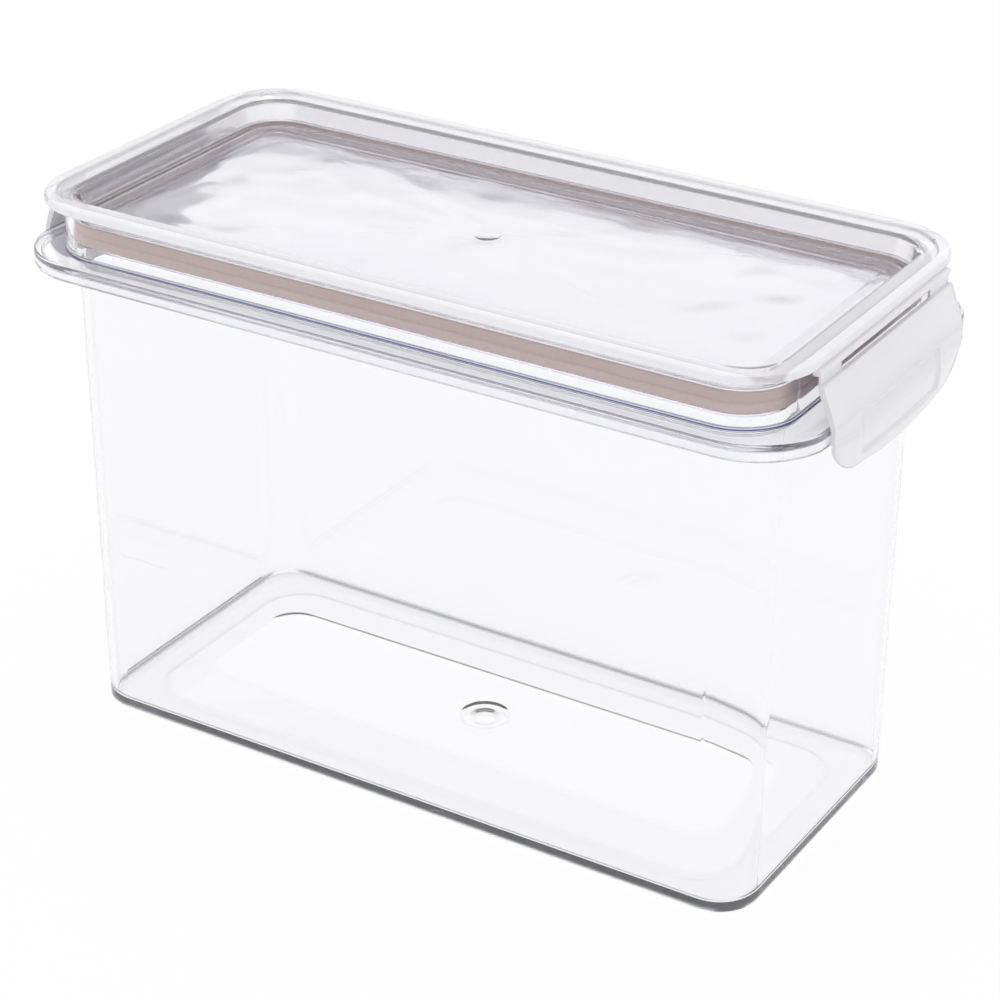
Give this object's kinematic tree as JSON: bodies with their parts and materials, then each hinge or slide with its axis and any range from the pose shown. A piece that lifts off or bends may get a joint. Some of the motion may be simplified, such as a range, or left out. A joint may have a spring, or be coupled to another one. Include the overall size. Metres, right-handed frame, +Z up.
{
  "type": "airtight food storage box",
  "caption": "Tall clear rectangular food storage box with a sunken, latched lid, a soft sealing ring and a hinged latch on each short end.",
  "frame": {"origin": "centre of the base, on the surface that the box stands on", "axes": "+X along the long side towards the right-hand latch, +Y towards the back, +Z up through the lid"},
  "size_m": [0.2418, 0.1138, 0.1572],
  "materials": {
    "clear_plastic": "glass-clear, polished, faint blue-lavender tint at the edges",
    "frosted_plastic": "natural translucent, milky where thick, clear and glossy in the thin sunken panel",
    "silicone": "satin taupe-pink silicone"
  },
  "bodies": {
    "container": {"container": "clear_plastic"},
    "lid": {"lid": "frosted_plastic", "lid_seal": "silicone", "hinge_left": "frosted_plastic", "hinge_right": "frosted_plastic"},
    "latch_left": {"latch_left": "frosted_plastic"},
    "latch_right": {"latch_right": "frosted_plastic"}
  },
  "joints": [
    {"name": "lid_lift", "type": "slide", "parent": "container", "child": "lid", "axis": [0, 0, 1], "range_m": [0, 0.06]},
    {"name": "latch_left_swing", "type": "hinge", "parent": "lid", "child": "latch_left", "pos_m": [-0.1152, 0, 0.1525], "axis": [0, 1, 0], "range_deg": [0, 110]},
    {"name": "latch_right_swing", "type": "hinge", "parent": "lid", "child": "latch_right", "pos_m": [0.1152, 0, 0.1525], "axis": [0, -1, 0], "range_deg": [0, 110]}
  ]
}
